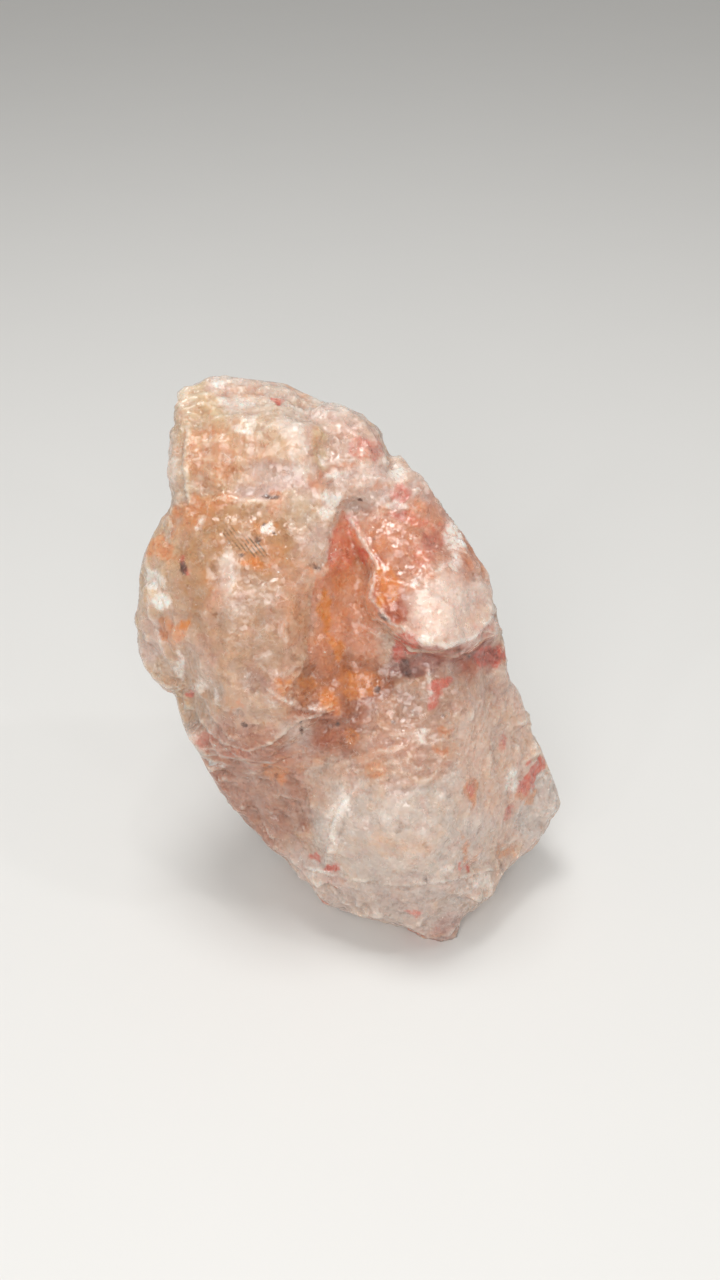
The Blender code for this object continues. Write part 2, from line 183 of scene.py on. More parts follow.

# Stains and marks on the side towards the eye, among them painted glints in the frost: across,
# down, half width and half height in steps, turn in degrees and strength.
STAINS = {
    "orange": [
        (208, 455, 30, 34, 10, 0.6), (250, 448, 26, 14, 15, 0.45), (200, 508, 30, 13, -12, 0.7),
        (161, 551, 17, 13, 20, 1.0), (172, 632, 15, 12, 35, 0.9), (273, 505, 9, 13, 0, 0.7),
        (316, 478, 9, 14, 15, 0.6), (339, 466, 12, 8, 0, 0.5), (382, 487, 9, 9, 0, 0.6),
        (262, 556, 22, 18, 0, 0.5), (300, 392, 22, 6, 20, 0.5), (215, 590, 10, 40, 8, 0.35),
        (298, 600, 20, 50, 0, 0.45), (320, 492, 7, 10, 0, 0.5), (178, 520, 16, 14, 0, 0.6),
        (392, 535, 30, 24, 40, 0.55), (390, 580, 14, 24, -8, 0.5), (410, 565, 26, 22, 30, 0.5),
        (376, 548, 7, 12, -20, 0.8), (368, 556, 6, 9, -20, 1.0), (425, 520, 22, 16, 40, 0.6),
        (470, 560, 10, 22, -30, 0.45), (345, 640, 38, 66, 0, 0.4), (350, 570, 16, 50, 8, 0.7),
        (332, 706, 12, 9, 0, 0.8), (276, 773, 12, 8, 10, 1.0), (300, 760, 34, 12, -10, 0.45),
        (471, 792, 7, 13, -10, 0.95), (467, 850, 8, 13, 0, 0.9), (505, 850, 8, 6, 0, 0.6),
        (445, 733, 6, 8, 0, 0.8), (440, 748, 7, 5, 0, 0.7), (528, 794, 9, 8, -30, 0.9),
        (236, 712, 6, 4, 0, 0.6), (375, 760, 22, 14, 0, 0.35), (300, 690, 34, 18, 0, 0.45),
        (388, 628, 12, 6, 25, 0.7), (245, 400, 34, 8, 8, 0.25),
    ],
    "amber": [
        (326, 613, 5, 24, -6, 1.1), (335, 648, 5, 13, -20, 1.0), (325, 640, 10, 36, -4, 0.3),
        (184, 622, 7, 6, 0, 0.7), (252, 564, 12, 6, 25, 0.8), (284, 686, 10, 9, 0, 0.5),
        (307, 684, 8, 9, 0, 0.45), (262, 528, 16, 9, 0, 0.45), (376, 770, 14, 9, 0, 0.4),
        (200, 420, 16, 20, 0, 0.25), (244, 392, 30, 7, 5, 0.3), (330, 700, 9, 11, 0, 0.75),
        (352, 738, 10, 8, 0, 0.45), (314, 440, 8, 14, 10, 0.35), (380, 600, 5, 7, -20, 0.8),
        (384, 588, 12, 24, -8, 0.6), (360, 684, 26, 15, 0, 0.55),
    ],
    "red": [
        (278, 403, 6, 3, 0, 0.9), (185, 568, 4, 9, -15, 0.8), (193, 692, 4, 3, 30, 0.9),
        (365, 450, 16, 10, 25, 0.5), (399, 495, 12, 10, 0, 0.55), (345, 545, 14, 34, 14, 0.45),
        (365, 554, 6, 12, -20, 0.9), (408, 641, 17, 8, 15, 0.9), (489, 656, 14, 11, 0, 1.0),
        (487, 632, 12, 8, 0, 0.5), (443, 683, 13, 6, -20, 0.95), (434, 700, 6, 14, 15, 0.75),
        (533, 772, 7, 17, 30, 1.0), (525, 788, 8, 10, 20, 0.8), (470, 788, 6, 6, 0, 0.7),
        (316, 858, 7, 4, 30, 0.8), (333, 866, 9, 4, 0, 0.85), (240, 754, 12, 4, 5, 0.3),
        (204, 740, 7, 8, 0, 0.4), (502, 742, 4, 9, -15, 0.5), (506, 812, 3, 9, 15, 0.6),
        (410, 519, 22, 6, 10, 0.5), (430, 545, 12, 30, 35, 0.4), (398, 655, 8, 12, 0, 0.7),
        (330, 735, 20, 8, 0, 0.2), (466, 866, 4, 4, 0, 0.7), (415, 912, 6, 3, 0, 0.6),
    ],
    "mauve": [
        (412, 662, 24, 14, 5, 1.0), (428, 656, 16, 11, 0, 0.7), (395, 660, 9, 14, 0, 0.8),
        (470, 652, 34, 9, -5, 0.7), (262, 684, 30, 14, -10, 0.45), (352, 718, 50, 10, -2, 0.4),
        (385, 705, 40, 16, 0, 0.35), (372, 722, 60, 10, 0, 0.3), (298, 752, 42, 12, -15, 0.35),
        (492, 690, 22, 20, 0, 0.35),
    ],
    # Crushed white quartz, and painted glints: some of these ovals are white spots where small
    # facets catch the light, such as the strong one at (267, 531) and those on the left bulge.
    "frost": [
        (216, 385, 5, 6, 0, 1.0), (226, 401, 9, 5, 20, 0.8), (246, 402, 13, 5, 10, 0.8),
        (243, 430, 8, 5, 0, 0.8), (252, 422, 7, 4, 0, 0.8), (156, 580, 7, 10, -30, 1.3),
        (163, 602, 7, 9, -30, 1.2), (199, 524, 3, 8, 15, 0.8), (180, 664, 4, 15, -12, 0.9),
        (267, 531, 6, 5, -20, 1.9), (230, 572, 4, 17, 4, 0.38), (333, 498, 10, 8, -20, 1.3),
        (326, 512, 9, 6, -30, 1.2), (323, 459, 4, 4, 0, 0.9), (350, 460, 4, 4, 0, 0.8),
        (336, 474, 9, 3, 5, 0.8), (399, 472, 8, 9, 0, 0.95), (397, 507, 9, 5, 20, 0.9),
        (453, 537, 8, 17, -20, 0.95), (455, 560, 6, 9, -10, 0.8), (441, 568, 8, 4, -30, 0.8),
        (416, 582, 5, 5, 0, 0.9), (200, 686, 6, 6, 0, 0.7), (290, 702, 7, 3, 20, 0.6),
        (311, 709, 6, 3, 10, 0.6), (217, 694, 4, 6, 0, 0.8), (430, 683, 3, 16, 0, 0.8),
        (422, 737, 7, 6, 0, 0.95), (491, 636, 4, 4, 0, 0.9), (340, 810, 8, 20, 22, 0.8),
        (332, 838, 5, 16, 0, 0.6), (510, 782, 5, 12, 15, 0.9), (480, 880, 13, 7, -15, 0.75),
        (250, 772, 6, 4, 0, 0.7), (222, 765, 3, 3, 0, 0.8), (318, 872, 12, 3, 5, 0.7),
        (340, 408, 22, 5, 10, 0.45), (448, 868, 6, 4, 0, 0.7), (386, 818, 6, 5, 0, 0.5),
        (282, 425, 26, 5, 0, 0.3), (172, 465, 5, 34, 0, 0.6), (180, 398, 8, 12, 0, 0.4),
    ],
    "dark": [
        (242, 556, 4.5, 2.2, 0, 1.0), (258, 540, 3, 4.5, 40, 1.2), (277, 533, 3, 3, 0, 1.3),
        (264, 526, 2.2, 3, 20, 0.9), (271, 497, 9, 3, 5, 0.8), (184, 568, 4, 8, -15, 0.9),
        (245, 725, 2.2, 2.2, 0, 1.0), (301, 724, 2.6, 2, -30, 1.0), (302, 731, 2.2, 3.8, -10, 1.0),
        (314, 717, 2.2, 2, 0, 1.0), (337, 725, 3, 2, -10, 0.9), (378, 690, 3.4, 3.4, 0, 1.0),
        (276, 775, 2.2, 2.2, 0, 0.6), (360, 500, 3, 2, -10, 0.9), (315, 567, 8, 2.5, 20, 0.6),
        (405, 667, 6, 12, -20, 0.6), (489, 656, 11, 9, 0, 0.45), (459, 650, 3, 2.2, 0, 0.8),
        (467, 655, 3, 2.2, 0, 0.7), (375, 538, 2.2, 2.2, 0, 0.8), (385, 618, 3, 9, -50, 0.8),
        (394, 722, 2.2, 2, 0, 0.9), (444, 716, 2.2, 2, 0, 0.7), (276, 816, 16, 4, 0, 0.25),
        (425, 879, 2.2, 2.2, 0, 0.7), (389, 597, 2.2, 2.2, 0, 0.6), (208, 646, 7, 2.5, -5, 0.5),
    ],
    "streak": [(232, 535, 14, 7, 55, 1.1), (254, 548, 15, 8, 50, 1.3)],
    "clear": [
        (545, 806, 22, 28, 20, 0.8), (400, 905, 80, 22, 3, 0.45), (262, 800, 50, 40, 35, 0.4),
        (176, 470, 9, 60, 0, 0.5), (186, 410, 14, 18, 0, 0.4), (470, 900, 34, 26, -20, 0.4),
        (150, 650, 12, 28, 0, 0.4), (232, 820, 40, 30, 40, 0.3), (520, 830, 30, 20, -30, 0.4),
    ],
}
# Span of the swells, in millimetres, that the stains' edges wander by, and then how far, in
# steps, each kind's edge wanders, and how soft it is.
STAIN_SPAN = 2.4
STAIN_EDGE = {
    "orange": (9.0, 0.75), "amber": (5.0, 0.55), "red": (5.0, 0.45), "mauve": (7.0, 0.6),
    "frost": (5.0, 1.0), "dark": (1.2, 0.7), "streak": (3.0, 0.6), "clear": (8.0, 0.8),
}
# Each kind of stain on the hidden side: the span of its swell in millimetres, the level above
# which it shows, and its strength.
BEHIND = {
    "orange": (13.0, 0.18, 0.6), "amber": (9.0, 0.5, 0.6), "red": (7.0, 0.52, 0.7),
    "mauve": (16.0, 0.42, 0.4), "frost": (6.0, 0.5, 0.7), "dark": (3.0, 0.72, 0.6),
    "streak": (12.0, 0.6, 0.7), "clear": (18.0, 0.3, 0.5),
}
# Across the lines of the streaked stain, which run down to the right.
STREAK_TURN = math.radians(52.0)
STREAK_ACROSS = -math.sin(STREAK_TURN) * RIGHT - math.cos(STREAK_TURN) * UP

# Broad tints of the stone: across, down, half width, half height, turn and the colour's name.
TINTS = [
    (250, 400, 130, 38, 6, "top"), (196, 412, 30, 36, 0, "cream"), (250, 470, 95, 60, 0, "head"),
    (170, 620, 44, 100, 0, "head"), (245, 630, 85, 110, 0, "lobe"), (224, 532, 50, 34, -4, "gold"),
    (198, 586, 14, 40, 6, "gold"), (264, 545, 34, 28, 30, "gold"),
    (330, 462, 44, 44, 0, "shoulder"), (345, 610, 42, 105, 4, "recess"),
    (425, 565, 72, 80, 35, "flake"), (387, 588, 17, 32, -8, "rust"),
    (452, 612, 46, 40, -20, "flake_tip"), (450, 664, 70, 20, -5, "crevice"),
    (425, 720, 110, 50, 5, "upper_foot"), (400, 835, 90, 62, 0, "oval"),
    (398, 766, 56, 20, 0, "upper_foot"), (505, 760, 50, 80, -15, "right_flank"),
    # Under the lobe the darker tint is partly painted shade, where the break faces down.
    (246, 786, 68, 56, 38, "under_lobe"), (338, 704, 42, 46, 0, "sienna"),
    (360, 682, 30, 24, 0, "sienna"), (322, 445, 10, 24, 5, "cream"),
    (296, 452, 12, 38, -10, "top"), (266, 483, 32, 18, 0, "lilac"),
    (150, 642, 15, 30, 10, "lilac"), (229, 574, 10, 26, 5, "top"), (395, 908, 95, 32, 3, "bottom"),
    (447, 930, 22, 16, 0, "toe"), (543, 805, 24, 36, 20, "glass"),
]
# Span in millimetres and reach in steps of the tints' wandering edges, and the span of the warm
# clouds under them all.
TINT_WANDER = (6.0, 14)
WARM_SPAN = 20.0
# Tints that end at a line: which lines, and on which side of each the tint lies, plus on the
# right-hand side of the direction of travel.
FENCES = {
    "recess": [(RECESS_RIDGE, -1), (FLAKE_RIM, 1)], "lobe": [(RECESS_RIDGE, 1)],
    "gold": [(RECESS_RIDGE, 1)], "crevice": [(FLAKE_RIM, 1)],
    "flake": [(FLAKE_RIM, -1)], "rust": [(FLAKE_RIM, -1)], "flake_tip": [(FLAKE_RIM, -1)],
}


def linear(code):
    """A colour as Blender mixes it, from its sRGB code such as #D9BFB0."""
    parts = [int(code[i:i + 2], 16) / 255 for i in (1, 3, 5)]
    return tuple(c / 12.92 if c <= 0.04045 else ((c + 0.055) / 1.055) ** 2.4 for c in parts)


def placed(name, data):
    """A new object in the scene that shows this data."""
    shown = bpy.data.objects.new(name, data)
    bpy.context.scene.collection.objects.link(shown)
    return shown


# ---- fields worked out for all points at once ----

def cell_values(cell, seed, count):
    """Numbers from 0 to 1, count of them for each whole-number cell: its three indices times
    large odd numbers are added, and the sum is mixed by shifts and products."""
    base = cell[:, 0] * 73856093 + cell[:, 1] * 19349663 + cell[:, 2] * 83492791 + seed * 6971
    rows = []
    for i in range(count):
        key = (base + i * 2654435761) & 0xFFFFFFFF
        key = ((key ^ (key >> 15)) * 2246822519) & 0xFFFFFFFF
        key = ((key ^ (key >> 13)) * 3266489917) & 0xFFFFFFFF
        rows.append((key ^ (key >> 16)) / 4294967296.0)
    return np.stack(rows, axis=1)


def ramp(value, low, high):
    """0 below low, 1 above high and a smooth S between them."""
    t = np.clip((value - low) / (high - low), 0.0, 1.0)
    return t * t * (3 - 2 * t)


def swell(points, span, seed):
    """Smooth noise from -1 to 1: every corner of a cell has a random slope, and the heights of
    the eight sloping planes are blended by an S curve along each side of the cell. Their sum
    is raised 1.7 times, to fill the range."""
    scaled = points / span
    cell = np.floor(scaled).astype(np.int64)
    local = scaled - cell
    fade = local ** 3 * (local * (local * 6 - 15) + 10)
    total = np.zeros(len(points))
    for corner in itertools.product((0, 1), repeat=3):
        slope = cell_values(cell + corner, seed, 3) * 2 - 1
        share = np.prod(np.where(corner, fade, 1 - fade), axis=1)
        total += share * ((local - corner) * slope).sum(axis=1)
    return total * 1.7


def rough(points, span, seed, layers=3):
    """Swells of one span, half of it, a quarter and so on, each half as high as the last."""
    return sum(swell(points, span / 2 ** i, seed + 31 * i) / 2 ** i for i in range(layers))


def warped(points, span, reach, seed):
    """The points, each pushed about by three swells, so that what is drawn on them meanders."""
    push = [swell(points, span, seed + 7 * axis) for axis in range(3)]
    return points + reach * np.stack(push, axis=1)


def wandered(places, points, span, reach, seeds, layers=3):
    """The places on the board, each pushed across and down by two rough swells of the points."""
    push = [rough(points / MM, span, seed, layers) for seed in seeds]
    return places + reach * np.stack(push, axis=1)


def near_centres(points, span, seed):
    """Randomly placed centres, one to a cell of this span: for each of the 27 cells round every
    point, the square of its distance from the centre, and the height there of a plane through
    the centre that leans by a random slope, both in spans."""
    scaled = points / span
    cell = np.floor(scaled).astype(np.int64)
    for shift in itertools.product((-1, 0, 1), repeat=3):
        there = cell + shift
        random = cell_values(there, seed, 6)
        arm = scaled - there - random[:, :3]
        yield (arm * arm).sum(axis=1), (arm * (random[:, 3:] - 0.5)).sum(axis=1)


def scallops(points, span, seed, tilt=1.2):
    """Shallow bowls that meet in sharp crests: round each centre a bowl rises by the square of
    the distance and leans by the plane's slope times tilt. Each point takes the lowest bowl,
    less 0.2, which puts the mean near nought."""
    lowest = np.full(len(points), 9.0)
    for square, lean in near_centres(points, span, seed):
        lowest = np.minimum(lowest, square + lean * tilt)
    return lowest - 0.2


def chipped(points, span, seed, bow=0.25):
    """Flat chips with crisp edges: each point takes the plane whose centre is nearest by a
    measure that leans along with it, so that neighbours meet almost level. bow is how much each
    chip is hollowed."""
    lowest = np.full(len(points), 9.0)
    height = np.zeros(len(points))
    for square, lean in near_centres(points, span, seed):
        nearer = square + lean < lowest
        lowest = np.where(nearer, square + lean, lowest)
        height = np.where(nearer, lean + bow * square, height)
    return height


def ledges(points, span, seed, steps=4.0):
    """Terraces: a swell is cut into steps and then taken away from them, so that each is a steep
    riser and a tread that slopes back down."""
    wave = swell(points, span, seed) * steps
    floor = np.floor(wave)
    return floor + ramp(wave - floor, 0.0, 0.3) - wave


def seen(points):
    """Where points are seen on the board: across and down, in steps."""
    ray = points - EYE
    reach = FOCAL / (ray @ FORWARD)
    across = BOARD_MIDDLE[0] + ray @ RIGHT * reach
    down = BOARD_MIDDLE[1] - ray @ UP * reach
    return np.stack([across, down], axis=1)


def facing(points, normals):
    """How squarely the skin faces the eye: 0 from edge on and behind, 1 well in front."""
    ray = EYE - points
    ray /= np.linalg.norm(ray, axis=1)[:, None]
    return ramp((ray * normals).sum(axis=1), *FRONT_FACING)


def line_arms(places, line):
    """The shortest arm in steps from a line of points to each place, and the side that the place
    is on: plus on the right-hand side of the direction of travel, with down counted as down."""
    best = np.full(len(places), 1e9)
    arms = np.zeros_like(places)
    side = np.zeros(len(places))
    for start, end in zip(line[:-1], line[1:]):
        start, way = np.array(start, float), np.subtract(end, start).astype(float)
        arm = places - start
        along = np.clip(arm @ way / (way @ way), 0.0, 1.0)
        off = arm - along[:, None] * way
        distance = np.hypot(off[:, 0], off[:, 1])
        turn = way[0] * arm[:, 1] - way[1] * arm[:, 0]
        closer = distance < best
        best = np.where(closer, distance, best)
        arms = np.where(closer[:, None], off, arms)
        side = np.where(closer, np.sign(turn), side)
    return arms, side


def line_distance(places, line):
    """How far in steps each place is from a line of points, and on which side of it."""
    arms, side = line_arms(places, line)
    return np.hypot(arms[:, 0], arms[:, 1]), side


def drawn_to_edge(points, normals):
    """The points, with those on the stone's horizon as seen from the eye moved square to the
    sight onto the outline, and less and less of that for those that face more to or from it."""
    ray = points - EYE
    depth = ray @ FORWARD
    square = np.abs((ray * normals).sum(axis=1)) / np.linalg.norm(ray, axis=1)
    rim = np.flatnonzero(square < EDGE_FACING[0])
    arms, _ = line_arms(seen(points[rim]), EDGE)
    share = ramp(square[rim], *EDGE_FACING)
    share *= ramp(np.hypot(arms[:, 0], arms[:, 1]), *EDGE_REACH)
    arms *= (share * depth[rim] / FOCAL)[:, None]
    moved = points.copy()
    moved[rim] -= arms[:, :1] * RIGHT - arms[:, 1:] * UP
    return moved


def oval(places, across, down, half_width, half_height, turn):
    """Distance from an oval's centre, 1 at its edge."""
    angle = math.radians(turn)
    x, y = places[:, 0] - across, places[:, 1] - down
    u = x * math.cos(angle) + y * math.sin(angle)
    v = y * math.cos(angle) - x * math.sin(angle)
    return np.hypot(u / half_width, v / half_height)


# ---- the skin ----

def merged_copy(node):
    """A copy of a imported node's mesh whose loose triangles are joined within 0.01 mm."""
    copy = placed("stone_copy", node.data.copy())
    weld = copy.modifiers.new("weld", "WELD")
    weld.merge_threshold = 0.01 * MM
    return copy


def net_over(copy, spacing):
    """Corners, quads and edges of an even net over the solid."""
    net = copy.modifiers.new("net", "REMESH")
    net.mode = "VOXEL"
    net.voxel_size = spacing
    graph = bpy.context.evaluated_depsgraph_get()
    mesh = bpy.data.meshes.new_from_object(copy.evaluated_get(graph))
    points = np.empty(len(mesh.vertices) * 3)
    mesh.vertices.foreach_get("co", points)
    edges = np.empty(len(mesh.edges) * 2, dtype=np.int64)
    mesh.edges.foreach_get("vertices", edges)
    bpy.data.objects.remove(copy, do_unlink=True)
    return mesh, points.reshape(-1, 3), edges.reshape(-1, 2)


def neighbour_mean(values, edges):
    """The mean of each point's neighbours, for values with one column or more."""
    count = len(values)
    links = np.bincount(edges.ravel(), minlength=count)
    mean = np.empty_like(values)
    for column in range(values.shape[1]):
        value = values[:, column]
        total = np.bincount(edges[:, 0], value[edges[:, 1]], count)
        total += np.bincount(edges[:, 1], value[edges[:, 0]], count)
        mean[:, column] = total / links
    return mean


def relaxed(points, edges, rounds):
    """Evens out the solid's flat triangles: each point goes half way to the middle of its
    neighbours and then a little more than that back, which smooths but doesn't shrink."""
    for step in [0.5, -0.52] * rounds:
        points = points + step * (neighbour_mean(points, edges) - points)
    return points


def crest_field(points, edges, normals):
    """How far each point stands out of the skin around it, from -1 in a pit to 1 on a crest:
    its height over the place where some rounds of smoothing put it, over that of a full crest."""
    smooth = points
    for _ in range(CREST_ROUNDS):
        smooth = neighbour_mean(smooth, edges)
    out = ((points - smooth) * normals).sum(axis=1) / MM
    return np.clip(out / FULL_CREST, -1.0, 1.0)


def thinned(skin, triangles):
    """Joins faces where the skin is flattest until this many triangles are left."""
    count = sum(len(face.vertices) - 2 for face in skin.data.polygons)
    thin = skin.modifiers.new("thin", "DECIMATE")
    thin.ratio = min(1.0, triangles / count)
    graph = bpy.context.evaluated_depsgraph_get()
    skin.data = bpy.data.meshes.new_from_object(skin.evaluated_get(graph))
    skin.modifiers.clear()


def set_points(mesh, points):
    """Moves a mesh's corners to these points."""
    mesh.vertices.foreach_set("co", points.ravel())
    mesh.update()


def normals_of(mesh):
    """The outward normal at each corner of a mesh."""
    values = np.empty(len(mesh.vertices) * 3)
    mesh.vertex_normals.foreach_get("vector", values)
    return values.reshape(-1, 3)


def break_height(points, places, front, shape):
    """Height of the breaks over the net, in metres: bowls, large and small flat chips and
    stepped ledges, lower in the calm places, and then the crisp lips and cuts along the seams
    and the hollows. Each field's places are first pushed about by swells of a span and a reach
    in millimetres."""
    p = points / MM
    bent = warped(p, 7.0, 2.0, seed=11)
    height = BOWLS[1] * scallops(bent, BOWLS[0], seed=21)
    height += LARGE_CHIPS[1] * chipped(warped(p, 4.0, 0.8, seed=17), LARGE_CHIPS[0], seed=41)
    height += LEDGES[1] * ledges(bent * (1.0, 1.0, 1.7), LEDGES[0], seed=51)
    height += SMALL_CHIPS[1] * chipped(warped(p, 1.5, 0.3, seed=19), SMALL_CHIPS[0], seed=43)
    for *spot, share in CALM:
        height *= 1 - share * front * ramp(oval(places, *spot), *CALM_EDGE)
    for line, lip, back, reach in SEAMS:
        away, side = line_distance(places, line)
        rise = np.where(side < 0, lip * ramp(away, reach, 1.0), -back * ramp(away, reach, 2.0))
        height += front * rise
    for *spot, depth in PITS:
        height -= depth * front * ramp(oval(places, *spot), *PIT_EDGE)
    return height * MM * shape.relief


def hackle_height(points, places, front):
    """Fine curved ribs, in metres: a sine of the distance from a focus, bent by two swells, to
    the power of 1.5, which narrows its crests."""
    p = points / MM
    bend = 9.0 * swell(p, 6.0, seed=71) + 4.0 * swell(p, 2.2, seed=72)
    total = np.zeros(len(points))
    for *spot, focus, pitch, depth in HACKLES:
        inside = ramp(oval(places, *spot), *RIB_EDGE) * front
        radius = np.hypot(places[:, 0] - focus[0], places[:, 1] - focus[1]) + bend
        rib = np.sin(radius * 2 * math.pi / (pitch * STEPS_PER_MM))
        total += inside * depth * (np.abs(rib) ** 1.5 * np.sign(rib))
    return total * MM


def inside_box(points):
    """The points, kept inside the solid's box and off the floor."""
    return np.clip(points, *CAD_BOX)


def stain_field(points, places, front, kind, seed):
    """Strength of one kind of stain, 0 to 1: the strongest of its ovals at each point, seen from
    the eye, with edges that wander by swells. Frost, with its painted glints, also lies along the
    lines of painted edge highlight."""
    reach, soft = STAIN_EDGE[kind]
    moved = wandered(places, points, STAIN_SPAN, reach, seeds=(seed, seed + 5), layers=2)
    total = np.zeros(len(points))
    for *spot, strength in STAINS[kind]:
        near = ramp(oval(moved, *spot), 1.0 + soft / 2, 1.0 - soft / 2)
        total = np.maximum(total, strength * near)
    if kind == "frost":
        for line, strength in PALE_EDGE_HIGHLIGHTS:
            away, _ = line_distance(places, line)
            total = np.maximum(total, strength * ramp(away, *PALE_HIGHLIGHT_REACH))
    return total * front


def behind_field(points, front, kind, seed):
    """The same kind of stain on the hidden side: where a swell rises above a level."""
    span, level, strength = BEHIND[kind]
    wave = rough(warped(points / MM, 6.0, 3.0, seed + 3), span, seed, 4)
    return strength * ramp(wave, level, level + 0.25) * (1 - front)


def ground_colour(points, places, front, colours):
    """The stone's own tint at each point: milky quartz, mixed with up to half of the lobe's
    where a rough swell is high, and each broad tint laid over it."""
    tint = {name: np.array(colour[:3]) for name, colour in colours.items()}
    moved = wandered(places, points, *TINT_WANDER, seeds=(91, 92))
    warm = ramp(rough(points / MM, WARM_SPAN, seed=95), -0.1, 0.5)[:, None] * 0.5
    total = tint["milky"] * (1 - warm) + warm * tint["lobe"]
    for *spot, name in TINTS:
        share = ramp(oval(moved, *spot), *TINT_EDGE) * front
        for line, side in FENCES.get(name, []):
            away, where = line_distance(places, line)
            share = share * ramp(away * where * side, -2.0, 2.0)
        total = total * (1 - share[:, None]) + share[:, None] * tint[name]
    return total


def add_field(mesh, name, values):
    """Keeps a number or a colour for each corner of a mesh as a named attribute."""
    if values.ndim == 1:
        layer = mesh.attributes.new(name, "FLOAT", "POINT")
        layer.data.foreach_set("value", values.astype(np.float32))
    else:
        layer = mesh.attributes.new(name, "FLOAT_COLOR", "POINT")
        full = np.insert(values, 3, 1.0, axis=1).astype(np.float32)
        layer.data.foreach_set("color", full.ravel())


def crystal_skin(shape, colours):
    """The finished stone as one mesh object."""
    mesh, points, edges = net_over(merged_copy(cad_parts[NODE]), shape.spacing)
    floor = points[:, 2].min()
    points = relaxed(points, edges, NET_ROUNDS)
    away, _ = line_distance(seen(points), FLAKE_RIM)
    share = ramp(away, *RIM_REACH)[:, None]
    points = points + share * (relaxed(points, edges, RIM_ROUNDS) - points)
    set_points(mesh, points)
    normals = normals_of(mesh)
    places = seen(points)
    front = facing(points, normals)
    lift = break_height(points, places, front, shape) + hackle_height(points, places, front)
    lift *= ramp(points[:, 2], floor, floor + FOOT_FADE * MM)
    points = drawn_to_edge(points + normals * lift[:, None], normals)
    points = inside_box(points)
    set_points(mesh, points)
    add_field(mesh, "crest", crest_field(points, edges, normals))
    for number, kind in enumerate(STAINS):
        near = stain_field(points, places, front, kind, seed=100 + 10 * number)
        behind = behind_field(points, front, kind, seed=300 + 20 * number)
        add_field(mesh, kind, np.maximum(near, behind))
    add_field(mesh, "ground", ground_colour(points, places, front, colours))
    mesh.polygons.foreach_set("use_smooth", np.ones(len(mesh.polygons), dtype=bool))
    skin = placed("crystal_skin", mesh)
    thinned(skin, shape.triangles)
    skin.data.name = "crystal_skin"
    return skin


# ---- materials ----

# Sizes in the quartz, in millimetres: its chips, large and small; pale lines along their borders
# and finer ones, partly painted highlight where chip edges catch the light, each with its width;
# white flecks, partly painted glints, and dark grains, each with the size of its cells, its own
# reach and the share of the cells that have one; and the golden lines.
WIDE_CHIP, FINE_CHIP = 2.3, 0.75
LINES, HAIRS = (1.8, 0.08), (0.9, 0.06)
FLECKS, GRAINS = (1.1, 0.16, 0.12), (1.9, 0.14, 0.1)
GOLD_PITCH = 0.45
# Clouds inside the stone: colour, size in millimetres, the levels of noise from which one shows
# and is full, and its share then.
CLOUDS = [("cloud", 7.0, 0.48, 0.7, 0.35), ("honey", 4.5, 0.5, 0.66, 0.45),
          ("blush", 3.5, 0.5, 0.66, 0.3), ("cloud", 2.0, 0.52, 0.7, 0.35)]
# How each kind of stain is broken up: the size of its specks in millimetres, how soft their
# edges are, and the share of its colour. They lie over one another in this order.
STAIN_GRAIN = [("clear", 3.0, 0.5, 0.5), ("orange", 1.8, 0.5, 0.7), ("mauve", 1.6, 0.45, 0.7),
               ("amber", 1.4, 0.4, 0.85), ("red", 0.8, 0.5, 0.85), ("dark", 0.5, 0.4, 0.9)]
# Quartz bends light by this, and scatters it over about 3 mm, red the farthest.
QUARTZ_IOR = 1.54
SCATTER_REACH, SCATTER_COLOUR = 0.003, (1.0, 0.78, 0.66)


def add_node(tree, kind, inputs, output=0, **settings):
    """Adds a shader node with its settings, sets or links its inputs, which are given in order
    or by name, and gives back one of its outputs."""
    node = tree.nodes.new("ShaderNode" + kind)
    for name, value in settings.items():
        setattr(node, name, value)
    for socket, value in inputs.items() if isinstance(inputs, dict) else enumerate(inputs):
        if isinstance(value, bpy.types.NodeSocket):
            tree.links.new(value, node.inputs[socket])
        else:
            node.inputs[socket].default_value = value
    return node.outputs[output] if node.outputs else None


def new_material(name):
    """A material without nodes, and the way to add them: add_node, bound to its tree."""
    material = bpy.data.materials.new(name)
    material.use_nodes = True
    material.node_tree.nodes.clear()
    return material, functools.partial(add_node, material.node_tree)


def per_mm(size):
    """A texture's scale for a pattern of this size in millimetres, in Object coordinates."""
    return 1000.0 / size


def laid(add, colour, layers):
    """A colour with others laid over it in turn, each with its share."""
    for share, over in layers:
        colour = add("Mix", {0: share, 6: colour, 7: over}, 2, data_type="RGBA")
    return colour


def ragged(add, place, kind, size, sharp):
    """A stain's field, broken into specks, holes and fingers by noise of the given size."""
    field = add("Attribute", (), "Fac", attribute_name=kind)
    grain = add("TexNoise", {"Vector": place, "Scale": per_mm(size), "Detail": 5.0,
                             "Roughness": 0.7, "Distortion": 0.6})
    lifted = add("Math", (grain, 2.6, -0.3), operation="MULTIPLY_ADD")
    edge = add("Math", (field, lifted), operation="MULTIPLY")
    return add("MapRange", (edge, 0.5 - sharp, 0.5 + sharp), interpolation_type="SMOOTHSTEP")


def bent(add, place, size):
    """The place, pushed about by noise of the given size, so that cells drawn on it get ragged
    borders."""
    push = add("TexNoise", {"Vector": place, "Scale": per_mm(size), "Detail": 3.0}, "Color")
    push = add("VectorMath", (push, (0.5, 0.5, 0.5)), operation="SUBTRACT")
    push = add("VectorMath", {0: push, "Scale": size * MM}, operation="SCALE")
    return add("VectorMath", (place, push), operation="ADD")


